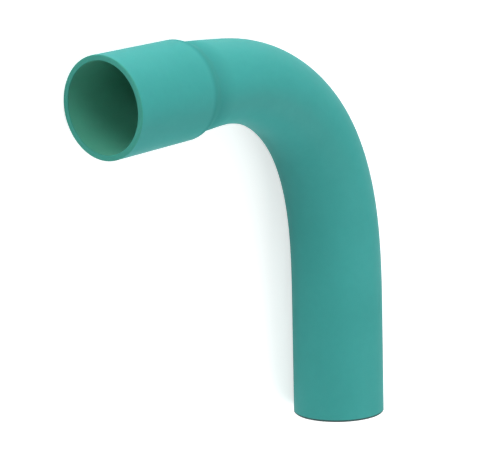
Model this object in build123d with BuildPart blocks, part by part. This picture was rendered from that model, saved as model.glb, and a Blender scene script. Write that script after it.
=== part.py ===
"""Factory-bent PVC conduit elbow: a 90 degree sweep of thin tube, formed from one piece.

One end is expanded into a socket that takes the next length of conduit. The other end is a plain
spigot. The tube lies on its side: its centreline is in the XY plane, the origin is the centre of
the socket's mouth, the socket opens towards -X and the spigot points towards -Y.

All sizes are in millimetres and degrees.
"""
from build123d import *
import os
from math import ceil, degrees, radians

# Tube, trade size 3/4 (metric designator 21)
tube_diameter = 26.67
tube_wall = 1.52

# Formed socket: the next tube slides in as far as the shoulder
socket_clearance = 0.07
socket_depth = 30.9
mouth_wall = 1.66
shoulder_wall = 1.15
lip_chamfer = 0.4
lip_inner_chamfer = 0.25

# Shoulder between the socket and the tube
shoulder_length = 4.3
shoulder_spacing = 1.1
neck_length = 0.3

# Bend: the curvature rises over the lead-in, holds, and falls away over the lead-out
bend_angle = 90.0
bend_radius = 49.5
lead_in_length = 21.5
lead_in_arcs = 4
lead_out_length = 57.5
lead_out_arcs = 8
section_spacing = 4.1

# The hot tube flattens in the plane of the bend, from the shoulder on, and the wall on the outside
# stretches
flattening = 0.086
flatten_length = 20.0
widening = 0.032
wall_shift = 0.20

# Spigot
spigot_length = 29.7
spigot_chamfer = 0.3
spigot_inner_chamfer = 0.3

tube_radius = tube_diameter / 2
passage_radius = tube_radius - tube_wall
socket_radius = tube_radius + socket_clearance
mouth_radius = socket_radius + mouth_wall
shoulder_radius = socket_radius + shoulder_wall
neck_start = socket_depth + shoulder_length
bend_start = neck_start + neck_length
tight_length = bend_radius * radians(bend_angle) - (lead_in_length + lead_out_length) / 2
bend_length = lead_in_length + tight_length + lead_out_length
spigot_start = bend_start + bend_length


def bend_share(distance):
    """Curvature at a distance from the mouth, as a share of the tightest."""
    rising = (distance - bend_start) / lead_in_length
    return max(0.0, min(1.0, rising, (spigot_start - distance) / lead_out_length))


def eased(share):
    """The share, held between 0 and 1 and with a soft start and a soft end."""
    share = min(1.0, max(0.0, share))
    return share**2 * (3 - 2 * share)


def squash_share(distance):
    """How far the section has gone from round to its flattest."""
    rising = (distance - socket_depth) / flatten_length
    return eased(min(rising, (spigot_start - distance) / lead_out_length))


def wall_radii(distance):
    """Outside and inside radius of the unflattened tube, through the shoulder and beyond."""
    drop = eased((distance - socket_depth) / shoulder_length)
    bell_radius = mouth_radius + (shoulder_radius - mouth_radius) * distance / socket_depth
    outside = bell_radius + (tube_radius - bell_radius) * drop
    return outside, socket_radius + (passage_radius - socket_radius) * drop


# The centreline is a chain of tangent arcs, each as curved as the middle of its stretch
arc_lengths = [lead_in_length / lead_in_arcs] * lead_in_arcs
arc_lengths += [tight_length]
arc_lengths += [lead_out_length / lead_out_arcs] * lead_out_arcs

with BuildLine(Plane.XY) as centreline:
    Line((socket_depth, 0), (bend_start, 0))
    bend_end, heading, travelled = Vector(bend_start, 0), Vector(1, 0), bend_start
    for arc_length in arc_lengths:
        arc_radius = bend_radius / bend_share(travelled + arc_length / 2)
        arc = JernArc(bend_end, heading, arc_radius, -degrees(arc_length / arc_radius))
        bend_end, heading, travelled = arc @ 1, arc % 1, travelled + arc_length

with BuildPart() as elbow:
    # Socket: one ring, turned about its axis
    with BuildSketch(Plane.XY) as socket_section:
        with BuildLine():
            Polyline(
                (0, socket_radius),
                (0, mouth_radius),
                (socket_depth, shoulder_radius),
                (socket_depth, socket_radius),
                close=True,
            )
        make_face()
        for radius, length in ((mouth_radius, lip_chamfer), (socket_radius, lip_inner_chamfer)):
            chamfer(socket_section.vertices().sort_by_distance((0, radius))[0], length)
    revolve(axis=Axis.X)

    # Shoulder, then bend: ring sections along the centreline, close together in the shoulder
    path = centreline.wire()
    for start, end, spacing in (
        (socket_depth, neck_start, shoulder_spacing),
        (neck_start, spigot_start, section_spacing),
    ):
        sections = ceil((end - start) / spacing)
        for step in range(sections + 1):
            distance = start + (end - start) * step / sections
            place = (distance - socket_depth) / (spigot_start - socket_depth)
            squash = squash_share(distance)
            outside, inside = wall_radii(distance)
            wider, narrower = tube_radius * widening * squash, tube_radius * flattening * squash
            with BuildSketch(Plane(path @ place, x_dir=(0, 0, 1), z_dir=path % place)):
                Ellipse(outside + wider, outside - narrower)
                with Locations((0, -wall_shift * squash)):
                    Ellipse(inside + wider, inside - narrower, mode=Mode.SUBTRACT)
        loft()

    # Spigot: the straight end of the tube, with its cut edges broken
    with BuildSketch(Plane(bend_end, x_dir=(0, 0, 1), z_dir=heading)):
        Circle(tube_radius)
        Circle(passage_radius, mode=Mode.SUBTRACT)
    extrude(amount=spigot_length)
    cut_edges = elbow.faces().sort_by(Axis.Y)[0].edges().sort_by(SortBy.LENGTH)
    chamfer(cut_edges[-1], spigot_chamfer)
    cut_edges = elbow.faces().sort_by(Axis.Y)[0].edges().sort_by(SortBy.LENGTH)
    chamfer(cut_edges[0], spigot_inner_chamfer)

elbow.part.label = "elbow"
os.makedirs("parts", exist_ok=True)
export_step(elbow.part, "parts/elbow.step")
print("mouth to corner", round(bend_end.X, 2))
print("corner to spigot end", round(spigot_length - bend_end.Y, 2))
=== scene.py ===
"""Looks of the PVC conduit elbow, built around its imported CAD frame.

The elbow is one thin tube that was extruded straight, expanded at one end into a socket, and bent
hot. Here its skin is swept anew along the same centreline, ring by ring, finely enough for smooth
highlights, and gets a satin green plastic. Lengths in the dataclasses are in millimetres, except
where a field says metres. The meshes are in metres, in the frame of the CAD model.
"""
from __future__ import annotations

import logging
import math
from dataclasses import dataclass
from enum import Enum

import bpy
import numpy as np
from mathutils import Matrix, Vector

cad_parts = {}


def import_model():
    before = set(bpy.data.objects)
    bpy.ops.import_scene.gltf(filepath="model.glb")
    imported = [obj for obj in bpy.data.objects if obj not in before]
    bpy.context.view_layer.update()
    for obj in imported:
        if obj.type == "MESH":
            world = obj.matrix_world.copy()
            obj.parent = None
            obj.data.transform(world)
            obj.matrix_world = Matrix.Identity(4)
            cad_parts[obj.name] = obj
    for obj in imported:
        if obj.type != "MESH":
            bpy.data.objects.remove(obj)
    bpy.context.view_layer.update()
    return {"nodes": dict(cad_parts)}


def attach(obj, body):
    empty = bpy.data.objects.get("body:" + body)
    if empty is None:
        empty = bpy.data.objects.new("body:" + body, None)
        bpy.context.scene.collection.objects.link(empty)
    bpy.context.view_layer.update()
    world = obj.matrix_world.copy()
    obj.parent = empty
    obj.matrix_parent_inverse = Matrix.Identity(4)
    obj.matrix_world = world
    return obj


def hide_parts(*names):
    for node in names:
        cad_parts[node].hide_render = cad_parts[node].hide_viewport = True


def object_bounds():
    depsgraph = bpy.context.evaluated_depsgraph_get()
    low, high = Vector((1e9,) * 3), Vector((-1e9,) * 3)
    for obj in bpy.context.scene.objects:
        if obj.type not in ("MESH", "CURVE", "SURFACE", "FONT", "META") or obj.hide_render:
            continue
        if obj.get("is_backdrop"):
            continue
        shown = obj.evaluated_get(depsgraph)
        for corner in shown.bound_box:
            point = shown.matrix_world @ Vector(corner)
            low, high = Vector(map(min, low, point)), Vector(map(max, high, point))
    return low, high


LOG = logging.getLogger("conduit_elbow")
MM = 0.001
PHOTO_WIDTH = 492
TUBE_LAYER = "straight_tube"
Rgb = tuple[float, float, float]
Triple = tuple[float, float, float]
Span = tuple[float, float]
Socket = bpy.types.NodeSocket
Feed = Socket | float | Rgb


class Surface(Enum):
    """Where a ring of the skin lies. The mesh has a mask for the passage and one for the sawn end, which its
    material reads.
    """

    OUTSIDE = "outside"
    PASSAGE = "passage"
    CUT_END = "cut_end"


@dataclass(frozen=True)
class Corner:
    """One corner of the tube's wall, drawn as distance along the tube against radius.

    Attributes:
        along: Distance from the socket's mouth, along the centreline.
        radius: Distance from the centreline.
        rounding: Radius of the round that replaces the corner.
        surface: What the stretch from this corner to the next belongs to.
    """

    along: float
    radius: float
    rounding: float
    surface: Surface = Surface.OUTSIDE


@dataclass(frozen=True)
class WallPoint:
    """A point on the wall's outline, with the direction in which the outline runs there.

    Attributes:
        along: Distance from the socket's mouth, along the centreline.
        radius: Distance from the centreline.
        run_along: Part of that direction along the tube.
        run_radius: Part of that direction away from the centreline.
        surface: What the point belongs to.
    """

    along: float
    radius: float
    run_along: float
    run_radius: float
    surface: Surface


@dataclass(frozen=True)
class WallOutline:
    """The closed outline of the straight tube's wall, with every corner rounded.

    Attributes:
        corners: The corners in order, from the mouth along the outside and back along the inside.
        fine: Where the stretch that is sampled finely starts and ends, along the tube.
        step: Longest distance between two points along the rest of the tube.
        fine_step: The same in the fine stretch.
        arc_steps: Number of steps in each round.
    """

    corners: tuple[Corner, ...]
    fine: Span
    step: float = 1.6
    fine_step: float = 0.25
    arc_steps: int = 8

    def points(self) -> list[WallPoint]:
        """Samples the outline.

        Returns:
            The points in order, round the whole outline once.
        """
        rounds = [self._round(index) for index in range(len(self.corners))]
        points: list[WallPoint] = []
        for index, (_, arc) in enumerate(rounds):
            points.extend(arc)
            following = rounds[(index + 1) % len(rounds)][0]
            points.extend(self._straight(arc[-1], following, self.corners[index].surface))
        return points

    def _round(self, index: int) -> tuple[WallPoint, list[WallPoint]]:
        """Samples the round at one corner.

        Args:
            index: Which corner.

        Returns:
            The first point of the round, and all its points.
        """
        corner = self.corners[index]
        before = self.corners[index - 1]
        after = self.corners[(index + 1) % len(self.corners)]
        tip = np.array((corner.along, corner.radius))
        arrive = tip - np.array((before.along, before.radius))
        leave = np.array((after.along, after.radius)) - tip
        arrive /= np.linalg.norm(arrive)
        leave /= np.linalg.norm(leave)
        turn = math.atan2(arrive[0] * leave[1] - arrive[1] * leave[0], float(arrive @ leave))
        start = tip - arrive * corner.rounding * math.tan(abs(turn) / 2)
        side = math.copysign(1.0, turn)
        centre = start + side * corner.rounding * np.array((-arrive[1], arrive[0]))
        ends = Surface.CUT_END in (corner.surface, before.surface)
        surface = Surface.CUT_END if ends else corner.surface
        arc = []
        for step in range(self.arc_steps + 1):
            angle = turn * step / self.arc_steps
            cos, sin = math.cos(angle), math.sin(angle)
            spoke = start - centre
            spoke = np.array((cos * spoke[0] - sin * spoke[1], sin * spoke[0] + cos * spoke[1]))
            run = np.array((cos * arrive[0] - sin * arrive[1], sin * arrive[0] + cos * arrive[1]))
            arc.append(WallPoint(*(centre + spoke), *run, surface))
        return arc[0], arc

    def _straight(self, start: WallPoint, end: WallPoint, surface: Surface) -> list[WallPoint]:
        """Samples between two rounds, without the two ends.

        Args:
            start: Last point of the one round.
            end: First point of the next round.
            surface: What the stretch belongs to.

        Returns:
            The points between them, none where the stretch runs across the wall.
        """
        low, high = sorted((start.along, end.along))
        fine_low, fine_high = (min(max(edge, low), high) for edge in self.fine)
        stops = [
            *self._stops(low, fine_low, self.step),
            *self._stops(fine_low, fine_high, self.fine_step),
            *self._stops(fine_high, high, self.step),
        ][1:]
        if start.along > end.along:
            stops.reverse()
        return [WallPoint(stop, start.radius, start.run_along, start.run_radius, surface) for stop in stops]

    @staticmethod
    def _stops(low: float, high: float, step: float) -> list[float]:
        """Divides a stretch evenly, with a stop at its start and none at its end."""
        count = math.ceil((high - low) / step)
        return [low + (high - low) * index / count for index in range(count)]


def eased(share: np.ndarray) -> np.ndarray:
    """Holds a share between 0 and 1 and gives it a soft start and a soft end."""
    held = np.clip(share, 0.0, 1.0)
    return held**2 * (3 - 2 * held)


@dataclass(frozen=True)
class BendLine:
    """The centreline: straight, a bend whose curvature eases in and out, and straight again.

    Attributes:
        bend_start: Where the bend starts, along the centreline from the mouth.
        bend_radius: Radius of its tightest part.
        bend_angle: How far it turns, in radians.
        lead_in: Length over which its curvature rises.
        lead_out: Length over which its curvature falls away.
        table_step: Distance between two points of the table that the bend is read from.
    """

    bend_start: float = 35.5
    bend_radius: float = 49.5
    bend_angle: float = math.pi / 2
    lead_in: float = 21.5
    lead_out: float = 57.5
    table_step: float = 0.05

    @property
    def bend_length(self) -> float:
        """Length of the bend along the centreline."""
        return self.bend_radius * self.bend_angle + (self.lead_in + self.lead_out) / 2

    @property
    def bend_end(self) -> float:
        """Where the bend ends, along the centreline from the mouth."""
        return self.bend_start + self.bend_length

    def falling(self, along: np.ndarray) -> np.ndarray:
        """Share of the lead-out that still lies ahead, more than 1 before it."""
        return (self.bend_end - np.asarray(along)) / self.lead_out

    def share(self, along: np.ndarray) -> np.ndarray:
        """Curvature as a share of the tightest, at each distance from the mouth."""
        rising = (np.asarray(along) - self.bend_start) / self.lead_in
        return np.clip(np.minimum(rising, self.falling(along)), 0.0, 1.0)

    def places(self, along: np.ndarray) -> tuple[np.ndarray, np.ndarray]:
        """Finds points on the centreline.

        Args:
            along: Distances from the mouth.

        Returns:
            The points, and the headings there as angles from +X, clockwise from above.
        """
        table = np.linspace(self.bend_start, self.bend_end, round(self.bend_length / self.table_step))
        step = table[1] - table[0]
        middle = (table[1:] + table[:-1]) / 2
        turned = np.concatenate(([0.0], np.cumsum(self.share(middle) * step / self.bend_radius)))
        heading = (turned[1:] + turned[:-1]) / 2
        x = self.bend_start + np.concatenate(([0.0], np.cumsum(np.cos(heading) * step)))
        y = -np.concatenate(([0.0], np.cumsum(np.sin(heading) * step)))
        angle = np.interp(along, table, turned)
        past = np.maximum(along - self.bend_end, 0.0)
        before = np.minimum(along - self.bend_start, 0.0)
        px = np.interp(along, table, x) + before + past * math.cos(turned[-1])
        py = np.interp(along, table, y) - past * math.sin(turned[-1])
        return np.stack((px, py, np.zeros_like(px)), axis=-1), angle


def in_metres(band: Span) -> Span:
    """Turns a band in millimetres into one in metres."""
    return band[0] * MM, band[1] * MM


@dataclass(frozen=True)
class Pattern:
    """A noise pattern.

    Attributes:
        waves: Number of waves per metre.
        octaves: Number of finer layers in it.
    """

    waves: float
    octaves: float


class Operation(Enum):
    """What a Math node does with its two numbers."""

    ADD = "ADD"
    MULTIPLY = "MULTIPLY"
    LARGER = "MAXIMUM"


class Mixed(Enum):
    """What a Mix node mixes: Blender's name for it, and how the sockets' identifiers for it end."""

    COLOURS = ("RGBA", "Color")
    NUMBERS = ("FLOAT", "Float")


@dataclass(frozen=True)
class NodeBoard:
    """A node tree with short calls for the nodes that the finishes use.

    Attributes:
        tree: The node tree.
    """

    tree: bpy.types.NodeTree

    def add(self, kind: str) -> bpy.types.Node:
        """Adds a node of a kind."""
        return self.tree.nodes.new(kind)

    def find(self, kind: str) -> bpy.types.Node:
        """Finds the first node of a type that the tree already has."""
        return next(node for node in self.tree.nodes if node.type == kind)

    def link(self, source: Socket, target: Socket) -> None:
        """Links an output to an input."""
        self.tree.links.new(source, target)

    def feed(self, target: Socket, value: Feed) -> None:
        """Gives an input a link, a number or a colour.

        Args:
            target: The input.
            value: An output to link, or a value to set.
        """
        if isinstance(value, bpy.types.NodeSocket):
            self.link(value, target)
        elif target.type == "RGBA":
            target.default_value = (*value, 1.0)
        else:
            target.default_value = value

    def layer(self, name: str) -> Socket:
        """Reads a mask that the mesh holds under a name.

        Args:
            name: Name of the layer.

        Returns:
            The mask's socket.
        """
        node = self.add("ShaderNodeAttribute")
        node.attribute_name = name
        return node.outputs["Fac"]

    def vector_layer(self, name: str) -> Socket:
        """Reads a vector that the mesh holds under a name.

        Args:
            name: Name of the layer.

        Returns:
            The vector's socket.
        """
        node = self.add("ShaderNodeAttribute")
        node.attribute_name = name
        return node.outputs["Vector"]

    def along(self, tube: Socket) -> Socket:
        """Reads how far along the straight tube a point lies.

        Args:
            tube: The place in the straight tube.

        Returns:
            The socket of the distance from the mouth, in metres.
        """
        node = self.add("ShaderNodeSeparateXYZ")
        self.link(tube, node.inputs[0])
        return node.outputs["Z"]

    def off_axis(self, tube: Socket) -> Socket:
        """Reads how far from the straight tube's axis a point lies.

        Args:
            tube: The place in the straight tube.

        Returns:
            The socket of the radius, in metres.
        """
        node = self.add("ShaderNodeVectorMath")
        node.operation = "LENGTH"
        self.link(self.scaled(tube, (1.0, 1.0, 0.0)), node.inputs[0])
        return node.outputs["Value"]

    def scaled(self, vector: Socket, factors: Triple) -> Socket:
        """Multiplies a vector by a factor on each axis.

        Args:
            vector: The vector.
            factors: The three factors.

        Returns:
            The product's socket.
        """
        node = self.add("ShaderNodeVectorMath")
        node.operation = "MULTIPLY"
        self.link(vector, node.inputs[0])
        node.inputs[1].default_value = factors
        return node.outputs[0]

    def noise(self, vector: Socket, pattern: Pattern) -> Socket:
        """Adds a noise texture.

        Args:
            vector: Where it is read, in metres.
            pattern: Its scale and detail.

        Returns:
            The noise value's socket.
        """
        node = self.add("ShaderNodeTexNoise")
        self.link(vector, node.inputs["Vector"])
        node.inputs["Scale"].default_value = pattern.waves
        node.inputs["Detail"].default_value = pattern.octaves
        return node.outputs["Fac"]

    def span(self, value: Socket, band: Span, result: Span = (0.0, 1.0)) -> Socket:
        """Maps a range of a value to another range, clamped.

        Args:
            value: The value.
            band: Start and end of its range.
            result: Result at the start and at the end.

        Returns:
            The result's socket.
        """
        node = self.add("ShaderNodeMapRange")
        self.link(value, node.inputs["Value"])
        node.inputs["From Min"].default_value = band[0]
        node.inputs["From Max"].default_value = band[1]
        node.inputs["To Min"].default_value = result[0]
        node.inputs["To Max"].default_value = result[1]
        return node.outputs["Result"]

    def math(self, operation: Operation, first: Feed, second: Feed) -> Socket:
        """Works out one operation on two numbers.

        Args:
            operation: The operation.
            first: The first number.
            second: The second number.

        Returns:
            The result's socket.
        """
        node = self.add("ShaderNodeMath")
        node.operation = operation.value
        self.feed(node.inputs[0], first)
        self.feed(node.inputs[1], second)
        return node.outputs[0]

    def mix_colour(self, share: Feed, first: Feed, second: Feed) -> Socket:
        """Mixes two colours, with a share of the second."""
        return self._mix(Mixed.COLOURS, share, first, second)

    def mix_value(self, share: Feed, first: Feed, second: Feed) -> Socket:
        """Mixes two numbers, with a share of the second."""
        return self._mix(Mixed.NUMBERS, share, first, second)

    def _mix(self, mixed: Mixed, share: Feed, first: Feed, second: Feed) -> Socket:
        """Adds a Mix node, whose sockets are found by identifier, since their names repeat.

        Args:
            mixed: What it mixes.
            share: Share of the second value.
            first: The first value.
            second: The second value.

        Returns:
            The result's socket.
        """
        node = self.add("ShaderNodeMix")
        node.data_type, suffix = mixed.value
        inputs = {socket.identifier: socket for socket in node.inputs}
        self.feed(inputs["Factor_Float"], share)
        self.feed(inputs[f"A_{suffix}"], first)
        self.feed(inputs[f"B_{suffix}"], second)
        return next(socket for socket in node.outputs if socket.identifier == f"Result_{suffix}")

    def bump(self, height: Socket, distance: float, under: Socket | None = None) -> Socket:
        """Tilts the shading by a height.

        Args:
            height: The height, from 0 to 1.
            distance: How high 1 is, in metres.
            under: A bump that this one is laid over.

        Returns:
            The normal's socket.
        """
        node = self.add("ShaderNodeBump")
        node.inputs["Strength"].default_value = 1.0
        node.inputs["Distance"].default_value = distance
        self.link(height, node.inputs["Height"])
        if under is not None:
            self.link(under, node.inputs["Normal"])
        return node.outputs["Normal"]

    def seen_directly(self) -> Socket:
        """Is 1 for what the camera sees, directly, in a reflection or through glass.

        Returns:
            The socket of that number.
        """
        path = self.add("ShaderNodeLightPath")
        glossy, through = path.outputs["Is Glossy Ray"], path.outputs["Is Transmission Ray"]
        mirrored = self.math(Operation.LARGER, glossy, through)
        return self.math(Operation.LARGER, path.outputs["Is Camera Ray"], mirrored)


@dataclass(frozen=True)
class SatinPvc:
    """Extruded green PVC: smooth and satin, faintly mottled, with fine lines along the tube.

    Attributes:
        name: Name of the Blender material.
        colour: Body colour.
        deep_colour: Colour of the slightly deeper patches.
        passage_painted_light_colour: Colour of the inside, lighter and redder than the body: painted light
            that lifts the shade in the bore.
        mouth_colour: Colour of the mouth's rim.
        mouth_band: Where that colour starts to fade and where it ends, along the tube.
        crease_painted_shade_colour: Darker colour where the shoulder turns into the tube: painted shade in
            the crease.
        crease_rise: Where that colour starts and where it is full, along the tube.
        crease_fall: Where it starts to fade and where it ends.
        cut_painted_shade_colour: Darker colour of the sawn end: painted shade on the end, which turns away
            from the light.
        cut_fade: Value of the sawn end's mask where its colour starts and where it is full.
        edge_painted_shade_colour: Near-black colour of the sawn end's outer edge: painted shade along that
            edge.
        edge_band: Radius where that colour starts and where it is full.
        patches: Pattern of the deeper patches.
        mottle: Pattern of the fine mottle, which is also the grain.
        lines: Pattern of the lines left by the extruder's die.
        line_stretch: Factor on the lines' pattern along the tube, which draws them out.
        noise_band: Values of a pattern between which its effect goes from none to full.
        patch_share: Share of the patches in the deeper colour, where the mottle has the rest.
        ior: Refractive index.
        specular: Specular level, where 0.5 is the full gloss of that index.
        subsurface: Share of the light that scatters in the wall.
        scatter: How far red, green and blue light spreads in the wall.
        roughness: Roughness of the skin where it is smoothest and where it is dullest.
        crease_roughness: Roughness where the shoulder turns into the tube.
        cut_roughness: Roughness of the sawn end.
        grain_height: Height of the fine grain, in metres.
        line_height: Height of the lines, in metres.
    """

    name: str = "green_pvc"
    colour: Rgb = (0.051, 0.344, 0.322)
    deep_colour: Rgb = (0.045, 0.316, 0.294)
    passage_painted_light_colour: Rgb = (0.086, 0.375, 0.266)
    mouth_colour: Rgb = (0.047, 0.290, 0.235)
    mouth_band: Span = (0.2, 0.5)
    crease_painted_shade_colour: Rgb = (0.042, 0.280, 0.258)
    crease_rise: Span = (29.8, 31.2)
    crease_fall: Span = (33.4, 41.0)
    cut_painted_shade_colour: Rgb = (0.045, 0.205, 0.180)
    cut_fade: Span = (0.78, 0.90)
    edge_painted_shade_colour: Rgb = (0.040, 0.078, 0.080)
    edge_band: Span = (12.95, 13.05)
    patches: Pattern = Pattern(38.0, 3.0)
    mottle: Pattern = Pattern(420.0, 4.0)
    lines: Pattern = Pattern(900.0, 2.0)
    line_stretch: float = 0.012
    noise_band: Span = (0.3, 0.7)
    patch_share: float = 0.7
    ior: float = 1.53
    specular: float = 0.12
    subsurface: float = 0.25
    scatter: Rgb = (0.4, 1.3, 0.95)
    roughness: Span = (0.56, 0.64)
    crease_roughness: float = 0.9
    cut_roughness: float = 0.7
    grain_height: float = 0.00003
    line_height: float = 0.00001

    def build(self) -> bpy.types.Material:
        """Makes the node material.

        Returns:
            The Blender material.
        """
        material = bpy.data.materials.new(self.name)
        material.use_nodes = True
        board = NodeBoard(material.node_tree)
        shader = board.find("BSDF_PRINCIPLED")
        shader.inputs["IOR"].default_value = self.ior
        shader.inputs["Specular IOR Level"].default_value = self.specular
        shader.inputs["Subsurface Weight"].default_value = self.subsurface
        shader.inputs["Subsurface Radius"].default_value = self.scatter
        shader.inputs["Subsurface Scale"].default_value = MM

        tube = board.vector_layer(TUBE_LAYER)
        patches = board.noise(tube, self.patches)
        mottle = board.noise(tube, self.mottle)
        lines = board.noise(board.scaled(tube, (1.0, 1.0, self.line_stretch)), self.lines)
        crease = self._crease(board, tube)
        cut = board.span(board.layer(Surface.CUT_END.value), self.cut_fade)

        colour = self._body_colour(board, patches, mottle)
        # Painted shade: the crease after the shoulder is darkened.
        colour = board.mix_colour(crease, colour, self.crease_painted_shade_colour)
        # Painted light: the inside gets a lighter colour than the body, to lift the shade in the bore.
        colour = board.mix_colour(board.layer(Surface.PASSAGE.value), colour, self.passage_painted_light_colour)
        mouth = board.span(board.along(tube), in_metres(self.mouth_band), (1.0, 0.0))
        colour = board.mix_colour(mouth, colour, self.mouth_colour)
        # Painted shade: the sawn end is darkened.
        colour = board.mix_colour(cut, colour, self.cut_painted_shade_colour)
        # Painted shade: the sawn end's outer edge is darkened nearly to black.
        outer = board.span(board.off_axis(tube), in_metres(self.edge_band))
        colour = board.mix_colour(board.math(Operation.MULTIPLY, cut, outer), colour, self.edge_painted_shade_colour)
        board.link(colour, shader.inputs["Base Color"])

        rough = board.span(patches, self.noise_band, self.roughness)
        rough = board.mix_value(crease, rough, self.crease_roughness)
        rough = board.mix_value(cut, rough, self.cut_roughness)
        board.link(rough, shader.inputs["Roughness"])

        grain = board.bump(mottle, self.grain_height)
        drawn = board.bump(lines, self.line_height, grain)
        board.link(drawn, shader.inputs["Normal"])
        return material

    def _body_colour(self, board: NodeBoard, patches: Socket, mottle: Socket) -> Socket:
        """Mixes the body colour with the deeper one, in patches and in the fine mottle.

        Args:
            board: The node tree.
            patches: The patches' noise.
            mottle: The mottle's noise.

        Returns:
            The colour's socket.
        """
        patched = board.span(patches, self.noise_band, (0.0, self.patch_share))
        mottled = board.span(mottle, self.noise_band, (0.0, 1.0 - self.patch_share))
        return board.mix_colour(board.math(Operation.ADD, patched, mottled), self.colour, self.deep_colour)

    def _crease(self, board: NodeBoard, tube: Socket) -> Socket:
        """Masks the crease between the shoulder and the tube, which is darkened as painted shade and made
        duller.

        Args:
            board: The node tree.
            tube: The place in the straight tube.

        Returns:
            The mask's socket.
        """
        along = board.along(tube)
        rise = board.span(along, in_metres(self.crease_rise))
        fall = board.span(along, in_metres(self.crease_fall), (1.0, 0.0))
        return board.math(Operation.MULTIPLY, rise, fall)


@dataclass(frozen=True)
class PaleFloor:
    """The studio floor: matt and pale, lifted to white for the camera, and keeping the shadow.

    Attributes:
        name: Name of the Blender material.
        colour: Colour of the floor.
        lift: Strength of the glow that the camera sees on it.
    """

    name: str = "studio_floor"
    colour: Rgb = (0.82, 0.82, 0.82)
    lift: float = 0.58

    def build(self) -> bpy.types.Material:
        """Makes the node material.

        Returns:
            The Blender material.
        """
        material = bpy.data.materials.new(self.name)
        material.use_nodes = True
        board = NodeBoard(material.node_tree)
        shader = board.find("BSDF_PRINCIPLED")
        shader.inputs["Base Color"].default_value = (*self.colour, 1.0)
        shader.inputs["Roughness"].default_value = 1.0
        shader.inputs["Specular IOR Level"].default_value = 0.0
        glow = board.add("ShaderNodeEmission")
        board.link(board.math(Operation.MULTIPLY, board.seen_directly(), self.lift), glow.inputs["Strength"])
        both = board.add("ShaderNodeAddShader")
        board.link(shader.outputs[0], both.inputs[0])
        board.link(glow.outputs[0], both.inputs[1])
        board.link(both.outputs[0], board.find("OUTPUT_MATERIAL").inputs["Surface"])
        return material


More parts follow.
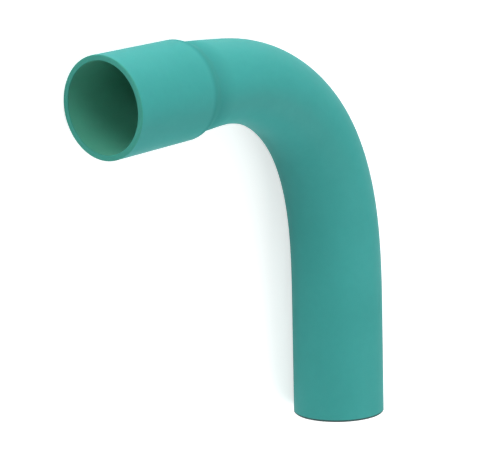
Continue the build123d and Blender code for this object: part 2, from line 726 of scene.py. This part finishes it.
@dataclass
class ElbowTube:
    """The elbow: socket, shoulder, eased bend and spigot in one skin.

    Attributes:
        tube_radius: Outside radius of the tube.
        wall: Wall of the tube.
        socket_clearance: Radial room round a tube in the socket.
        socket_depth: From the mouth to the start of the shoulder.
        mouth_wall: Wall at the mouth.
        shoulder_wall: Wall at the start of the shoulder.
        lip_round: Round of the mouth's outer edge.
        lip_inner_round: Round of the mouth's inner edge.
        shoulder_length: Length of the eased drop from the socket to the tube.
        spigot_length: Length of the straight end.
        spigot_chamfer: Break of the spigot's outer edge.
        spigot_inner_chamfer: Break of the spigot's inner edge.
        cut_round: Round of the edges of those breaks.
        flattening: How far the section flattens in the plane of the bend.
        flatten_length: Length over which it flattens, from the start of the shoulder.
        widening: How far it widens across that plane.
        wall_shift: How far the bore moves outwards in the bend.
        around: Number of faces round a ring.
        nudge: Step over which the skin's slopes are taken, in millimetres and radians.
        line: The centreline.
        finish: The plastic.
    """

    tube_radius: float = 13.335
    wall: float = 1.52
    socket_clearance: float = 0.07
    socket_depth: float = 30.9
    mouth_wall: float = 1.66
    shoulder_wall: float = 1.15
    lip_round: float = 0.3
    lip_inner_round: float = 0.2
    shoulder_length: float = 4.3
    spigot_length: float = 29.7
    spigot_chamfer: float = 0.3
    spigot_inner_chamfer: float = 0.3
    cut_round: float = 0.08
    flattening: float = 0.086
    flatten_length: float = 20.0
    widening: float = 0.032
    wall_shift: float = 0.20
    around: int = 192
    nudge: float = 0.01
    line: BendLine = BendLine()
    finish: SatinPvc = SatinPvc()

    def outline(self) -> WallOutline:
        """Draws the wall's outline as it is before the socket is formed and the tube bent.

        Returns:
            The outline, from the mouth along the outside and back through the passage.
        """
        passage = self.tube_radius - self.wall
        end = self.line.bend_end + self.spigot_length
        chamfer, inner_chamfer = self.spigot_chamfer, self.spigot_inner_chamfer
        return WallOutline(
            (
                Corner(0.0, self.tube_radius, self.lip_round),
                Corner(end - chamfer, self.tube_radius, self.cut_round, Surface.CUT_END),
                Corner(end, self.tube_radius - chamfer, self.cut_round, Surface.CUT_END),
                Corner(end, passage + inner_chamfer, self.cut_round, Surface.CUT_END),
                Corner(end - inner_chamfer, passage, self.cut_round, Surface.PASSAGE),
                Corner(0.0, passage, self.lip_inner_round, Surface.PASSAGE),
            ),
            (self.socket_depth, self.socket_depth + self.shoulder_length),
        )

    def expanded(self, along: np.ndarray, depth: np.ndarray) -> np.ndarray:
        """Radius of the skin once the socket is formed.

        Args:
            along: Distance of each ring from the mouth.
            depth: How deep each ring lies in the wall, from 0 outside to 1 inside.

        Returns:
            The radius of each ring.
        """
        drop = eased((along - self.socket_depth) / self.shoulder_length)
        socket = self.tube_radius + self.socket_clearance
        bell_wall = self.mouth_wall + (self.shoulder_wall - self.mouth_wall) * along / self.socket_depth
        inside = socket + (self.tube_radius - self.wall - socket) * drop
        outside = socket + bell_wall + (self.tube_radius - socket - bell_wall) * drop
        return outside + (inside - outside) * depth

    def skin(self, along: np.ndarray, radius: np.ndarray, angle: np.ndarray) -> np.ndarray:
        """Places points of the skin.

        Args:
            along: Distance of each ring from the mouth, along the centreline.
            radius: Radius of each ring in the straight tube.
            angle: Angles round the ring, from the outside of the bend.

        Returns:
            An array of rings by angles by three coordinates.
        """
        centre, heading = self.line.places(along)
        rising = (along - self.socket_depth) / self.flatten_length
        squash = eased(np.minimum(rising, self.line.falling(along)))
        depth = (self.tube_radius - radius) / self.wall
        formed = self.expanded(along, depth)
        narrow = formed - self.tube_radius * self.flattening * squash
        wide = formed + self.tube_radius * self.widening * squash
        shift = depth * self.wall_shift * squash
        outward = np.stack((np.sin(heading), np.cos(heading), np.zeros_like(heading)), axis=-1)
        across = shift[:, None] + narrow[:, None] * np.cos(angle)[None, :]
        points = centre[:, None, :] + outward[:, None, :] * across[..., None]
        points[..., 2] += wide[:, None] * np.sin(angle)[None, :]
        return points

    def build(self) -> bpy.types.Object:
        """Builds and dresses the elbow.

        Returns:
            The finished object.
        """
        walls = self.outline().points()
        along, radius, run_along, run_radius = (
            np.array([getattr(point, name) for point in walls])
            for name in ("along", "radius", "run_along", "run_radius")
        )
        angle = np.arange(self.around) * (2 * math.pi / self.around)
        mesh = self._joined(self.skin(along, radius, angle))
        self._add_tube_layer(mesh, along, radius, angle)
        self._add_masks(mesh, walls)
        normals = self._normals(along, radius, run_along, run_radius, angle)
        mesh.shade_smooth()
        mesh.normals_split_custom_set_from_vertices(normals.reshape(-1, 3).tolist())
        mesh.materials.append(self.finish.build())

        tube_object = bpy.data.objects.new("conduit_elbow", mesh)
        bpy.context.scene.collection.objects.link(tube_object)
        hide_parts("elbow")
        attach(tube_object, "root")
        return tube_object

    @staticmethod
    def _joined(points: np.ndarray) -> bpy.types.Mesh:
        """Joins the rings into one closed skin.

        Args:
            points: Rings by angles by three coordinates.

        Returns:
            The mesh, in metres.
        """
        rings, count = points.shape[:2]
        index = np.arange(rings * count).reshape(rings, count)
        ahead = np.roll(index, -1, axis=0)
        faces = np.stack((index, np.roll(index, -1, axis=1), np.roll(ahead, -1, axis=1), ahead), axis=-1)
        mesh = bpy.data.meshes.new("conduit_elbow")
        mesh.from_pydata((points.reshape(-1, 3) * MM).tolist(), [], faces.reshape(-1, 4).tolist())
        mesh.validate()
        return mesh

    @staticmethod
    def _add_tube_layer(
        mesh: bpy.types.Mesh, along: np.ndarray, radius: np.ndarray, angle: np.ndarray
    ) -> None:
        """Gives each vertex its place in the straight tube, for the patterns to follow.

        Args:
            mesh: The skin.
            along: Distance of each ring from the mouth.
            radius: Radius of each ring in the straight tube.
            angle: Angles round the ring.
        """
        straight = np.empty((len(along), len(angle), 3))
        straight[..., 0] = radius[:, None] * np.cos(angle)[None, :]
        straight[..., 1] = radius[:, None] * np.sin(angle)[None, :]
        straight[..., 2] = along[:, None]
        layer = mesh.attributes.new(TUBE_LAYER, "FLOAT_VECTOR", "POINT")
        layer.data.foreach_set("vector", (straight * MM).astype(np.float32).ravel())

    def _add_masks(self, mesh: bpy.types.Mesh, walls: list[WallPoint]) -> None:
        """Gives each vertex a mask for the passage and one for the sawn end.

        Args:
            mesh: The skin.
            walls: The wall's outline, a point for each ring.
        """
        for surface in (Surface.PASSAGE, Surface.CUT_END):
            mask = [float(point.surface is surface) for point in walls]
            layer = mesh.attributes.new(surface.value, "FLOAT", "POINT")
            layer.data.foreach_set("value", np.repeat(mask, self.around).astype(np.float32))

    def _normals(
        self,
        along: np.ndarray,
        radius: np.ndarray,
        run_along: np.ndarray,
        run_radius: np.ndarray,
        angle: np.ndarray,
    ) -> np.ndarray:
        """Works out the skin's normals from its formula.

        Args:
            along: Distance of each ring from the mouth.
            radius: Radius of each ring.
            run_along: How far the outline runs along the tube there.
            run_radius: How far it runs outwards there.
            angle: Angles round the ring.

        Returns:
            Unit normals, as rings by angles by three.
        """
        run_along, run_radius = run_along * self.nudge, run_radius * self.nudge
        forward = self.skin(along + run_along, radius + run_radius, angle)
        backward = self.skin(along - run_along, radius - run_radius, angle)
        turned = self.skin(along, radius, angle + self.nudge)
        unturned = self.skin(along, radius, angle - self.nudge)
        normals = np.cross(turned - unturned, forward - backward)
        return normals / np.linalg.norm(normals, axis=-1, keepdims=True)


@dataclass(frozen=True)
class SoftLamp:
    """A square softbox that points at the elbow.

    Attributes:
        name: Name of the lamp.
        direction: Direction from the elbow to the lamp.
        distance: Distance from the elbow, in metres.
        width: Side of the square, in metres.
        power: Power in watts.
    """

    name: str
    direction: Triple
    distance: float
    width: float
    power: float

    def build(self, aim: Vector) -> bpy.types.Object:
        """Hangs the lamp.

        Args:
            aim: The point it shines at.

        Returns:
            The lamp.
        """
        data = bpy.data.lights.new(self.name, "AREA")
        data.shape = "SQUARE"
        data.size = self.width
        data.energy = self.power
        lamp = bpy.data.objects.new(self.name, data)
        towards = Vector(self.direction).normalized()
        lamp.location = aim + towards * self.distance
        lamp.rotation_mode = "QUATERNION"
        lamp.rotation_quaternion = towards.to_track_quat("Z", "Y")
        lamp.visible_camera = False
        bpy.context.scene.collection.objects.link(lamp)
        return lamp


@dataclass
class Studio:
    """The floor, the backdrop's light and the lamps.

    Attributes:
        floor_half: Half the side of the floor, in metres.
        floor_height: Height of the floor at the origin, which is the mouth's centre.
        slope_x: Rise of the floor per unit along X, where the elbow leans on it.
        slope_y: Rise of the floor per unit along Y.
        world_strength: Strength of the light from all round.
        lamps: The softboxes.
    """

    floor_half: float = 6.0
    floor_height: float = -15.07
    slope_x: float = 0.0156
    slope_y: float = -0.0017
    world_strength: float = 0.35
    lamps: tuple[SoftLamp, ...] = (
        SoftLamp("key_left", (-0.45, 1.0, 0.36), 1.3, 0.6, 5.6),
        SoftLamp("key_right", (0.15, 1.0, 0.36), 1.3, 0.6, 9.2),
        SoftLamp("front", (-1.0, 0.5, 0.3), 1.3, 0.6, 3.5),
        SoftLamp("side", (-0.906, -0.749, 0.786), 1.3, 0.9, 2.0),
        SoftLamp("fill", (0.483, -0.993, 0.883), 1.3, 0.9, 8.9),
    )

    def build(self) -> None:
        """Lays the floor, lights the world and hangs the lamps."""
        half = self.floor_half
        corners = [
            (x, y, self.floor_height * MM + x * self.slope_x + y * self.slope_y)
            for x, y in ((-half, -half), (half, -half), (half, half), (-half, half))
        ]
        mesh = bpy.data.meshes.new("studio_floor")
        mesh.from_pydata(corners, [], [(0, 1, 2, 3)])
        mesh.materials.append(PaleFloor().build())
        floor = bpy.data.objects.new("studio_floor", mesh)
        bpy.context.scene.collection.objects.link(floor)
        floor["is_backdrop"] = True
        self._light_world()
        low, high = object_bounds()
        for lamp in self.lamps:
            lamp.build((low + high) / 2)
            LOG.info("lamp %s", lamp.name)

    def _light_world(self) -> None:
        """Makes the world white to the camera and softer as a light."""
        world = bpy.data.worlds.new("studio_world")
        bpy.context.scene.world = world
        world.use_nodes = True
        board = NodeBoard(world.node_tree)
        background = board.find("BACKGROUND")
        background.inputs["Color"].default_value = (1.0, 1.0, 1.0, 1.0)
        strength = board.mix_value(board.seen_directly(), self.world_strength, 1.0)
        board.link(strength, background.inputs["Strength"])


@dataclass(frozen=True)
class PhotoCamera:
    """The camera at the photograph's viewing angle.

    Attributes:
        place: Where it stands.
        right: Direction of the picture's right side.
        up: Direction of the picture's top.
        focal_pixels: Focal length in pixels of the photograph.
        sensor_width: Width of the sensor.
        clip: Nearest and farthest distance that it sees, in metres.
    """

    place: Triple = (-987.64, 278.13, 937.82)
    right: Triple = (0.663999, -0.019143, 0.747488)
    up: Triple = (0.180997, 0.974058, -0.135835)
    focal_pixels: float = 5000.0
    sensor_width: float = 36.0
    clip: Span = (0.05, 40.0)

    def build(self) -> bpy.types.Object:
        """Makes the camera and gives it to the scene.

        Returns:
            The camera.
        """
        data = bpy.data.cameras.new("photo_camera")
        data.sensor_fit = "HORIZONTAL"
        data.sensor_width = self.sensor_width
        data.lens = self.focal_pixels / PHOTO_WIDTH * self.sensor_width
        data.clip_start, data.clip_end = self.clip
        camera = bpy.data.objects.new("photo_camera", data)
        right, up = Vector(self.right), Vector(self.up)
        back = right.cross(up)
        turn = Matrix((right, up, back)).transposed().to_4x4()
        camera.matrix_world = Matrix.Translation(Vector(self.place) * MM) @ turn
        bpy.context.scene.collection.objects.link(camera)
        bpy.context.scene.camera = camera
        return camera


def main() -> None:
    """Builds the elbow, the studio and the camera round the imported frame."""
    logging.basicConfig(level=logging.INFO, format="%(name)s: %(message)s")
    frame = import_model()
    bpy.context.scene.view_settings.view_transform = "Standard"
    tube = ElbowTube().build()
    LOG.info("%s stands for %s", tube.name, sorted(frame["nodes"]))
    Studio().build()
    camera = PhotoCamera().build()
    LOG.info("camera %s", camera.name)


if __name__ == "__main__":
    main()
